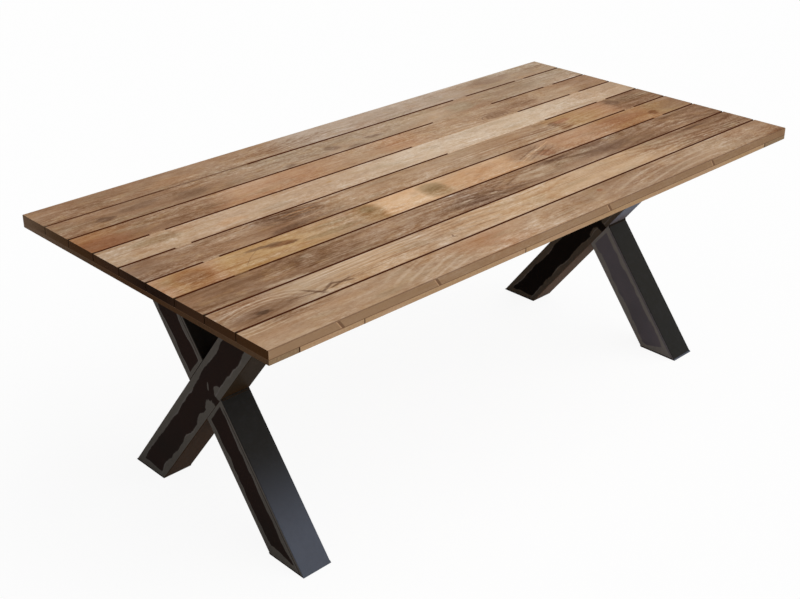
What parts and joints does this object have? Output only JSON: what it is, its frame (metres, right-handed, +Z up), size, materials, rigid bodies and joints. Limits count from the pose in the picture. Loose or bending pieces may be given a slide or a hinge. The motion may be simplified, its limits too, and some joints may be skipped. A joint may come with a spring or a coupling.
{
  "type": "dining table",
  "caption": "Rectangular dining table: a plank top with narrow gaps on a thinner batten layer, carried by X-shaped frames of welded box section steel near its ends.",
  "frame": {"origin": "on the floor, under the middle of the table", "axes": "+X along the table's length, +Y across it from the front to the back, +Z up"},
  "size_m": [2, 1, 0.76],
  "materials": {
    "wood_light_tan": "oiled hardwood, satin, open grain",
    "wood_beige": "oiled hardwood, satin, open grain",
    "wood_dark_brown": "oiled hardwood, satin, open grain",
    "wood_golden_tan": "oiled hardwood, satin, open grain",
    "wood_grey_brown": "oiled hardwood, satin, open grain",
    "wood_pale": "oiled hardwood, satin, open grain",
    "wood_red_brown": "oiled hardwood, satin, open grain",
    "wood_brown": "oiled hardwood, satin, open grain",
    "batten_wood": "oiled hardwood, satin, open grain",
    "blackened_steel": "blackened and clear lacquered, satin, ground bare along the edges",
    "zinc_steel": "zinc plated"
  },
  "bodies": {
    "root": {"back_batten_length_1": "batten_wood", "back_batten_length_2": "batten_wood", "back_batten_length_3": "batten_wood", "batten_screws": "zinc_steel", "frame_bolts": "zinc_steel", "frame_washers": "zinc_steel", "front_batten_length_1": "batten_wood", "front_batten_length_2": "batten_wood", "front_batten_length_3": "batten_wood", "front_plank_length_1": "wood_light_tan", "front_plank_length_2": "wood_light_tan", "front_plank_length_3": "wood_light_tan", "front_plank_length_4": "wood_light_tan", "front_plank_length_5": "wood_light_tan", "left_end_batten": "batten_wood", "left_foot_plates": "blackened_steel", "left_frame_welds": "blackened_steel", "left_leg_batten": "batten_wood", "left_long_bar": "blackened_steel", "left_lower_leg": "blackened_steel", "left_mid_batten": "batten_wood", "left_mount_plate": "blackened_steel", "left_upper_arm": "blackened_steel", "long_slip_gap_5": "wood_golden_tan", "long_slip_gap_6": "wood_golden_tan", "long_slip_gap_7": "wood_golden_tan", "long_slip_gap_8": "wood_golden_tan", "plank_row_2": "wood_beige", "plank_row_3": "wood_dark_brown", "plank_row_4": "wood_golden_tan", "plank_row_5": "wood_grey_brown", "plank_row_6": "wood_pale", "plank_row_7": "wood_red_brown", "plank_row_8": "wood_grey_brown", "plank_row_9": "wood_brown", "right_end_batten": "batten_wood", "right_foot_plates": "blackened_steel", "right_frame_welds": "blackened_steel", "right_leg_batten": "batten_wood", "right_long_bar": "blackened_steel", "right_lower_leg": "blackened_steel", "right_mid_batten": "batten_wood", "right_mount_plate": "blackened_steel", "right_upper_arm": "blackened_steel", "short_slips": "wood_golden_tan", "threaded_inserts": "zinc_steel"}
  },
  "joints": []
}
